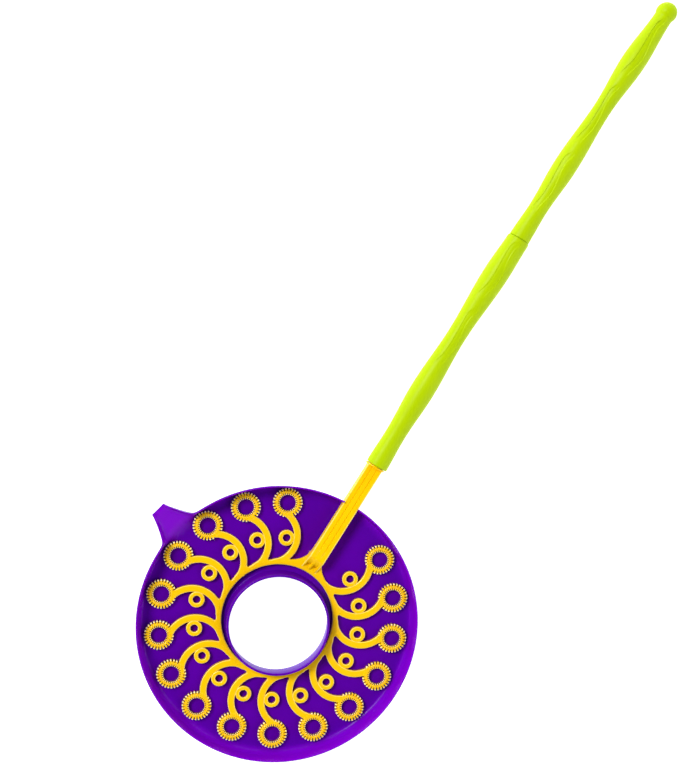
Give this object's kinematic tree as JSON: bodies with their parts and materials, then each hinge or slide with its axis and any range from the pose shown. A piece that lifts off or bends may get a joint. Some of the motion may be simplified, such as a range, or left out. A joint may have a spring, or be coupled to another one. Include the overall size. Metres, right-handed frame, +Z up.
{
  "type": "bubble wand",
  "caption": "Long-handled bubble wand with a flat head of curled arms and toothed loops, lying in a round dipping tray with an open hub and a pouring spout.",
  "frame": {"origin": "on the table, on the axis of the tray's open hub", "axes": "+X along the handle away from the tray, +Z up out of the tray, +Y to the spout's side"},
  "size_m": [0.5349, 0.1887, 0.0161],
  "materials": {
    "tray_violet": "smooth injection-moulded plastic, deep violet",
    "head_yellow": "smooth injection-moulded plastic, warm yellow",
    "handle_lime": "smooth moulded plastic, lime green"
  },
  "bodies": {
    "tray": {"dip_tray": "tray_violet"},
    "wand_head": {"centre_ring": "head_yellow", "stem": "head_yellow", "arm_01": "head_yellow", "arm_02": "head_yellow", "arm_03": "head_yellow", "arm_04": "head_yellow", "arm_05": "head_yellow", "arm_06": "head_yellow", "arm_07": "head_yellow", "arm_08": "head_yellow", "arm_09": "head_yellow", "arm_10": "head_yellow", "arm_11": "head_yellow", "arm_12": "head_yellow", "arm_13": "head_yellow", "arm_14": "head_yellow", "arm_15": "head_yellow", "arm_16": "head_yellow"},
    "lower_handle": {"lower_handle": "handle_lime"},
    "upper_handle": {"upper_handle": "handle_lime"}
  },
  "joints": [
    {"name": "wand_lift", "type": "slide", "parent": "tray", "child": "wand_head", "axis": [0, 0, 1], "range_m": [0, 0.06]},
    {"name": "lower_handle_pull", "type": "slide", "parent": "wand_head", "child": "lower_handle", "axis": [1, 0, 0], "range_m": [0, 0.03]},
    {"name": "upper_handle_pull", "type": "slide", "parent": "lower_handle", "child": "upper_handle", "axis": [1, 0, 0], "range_m": [0, 0.03]}
  ]
}
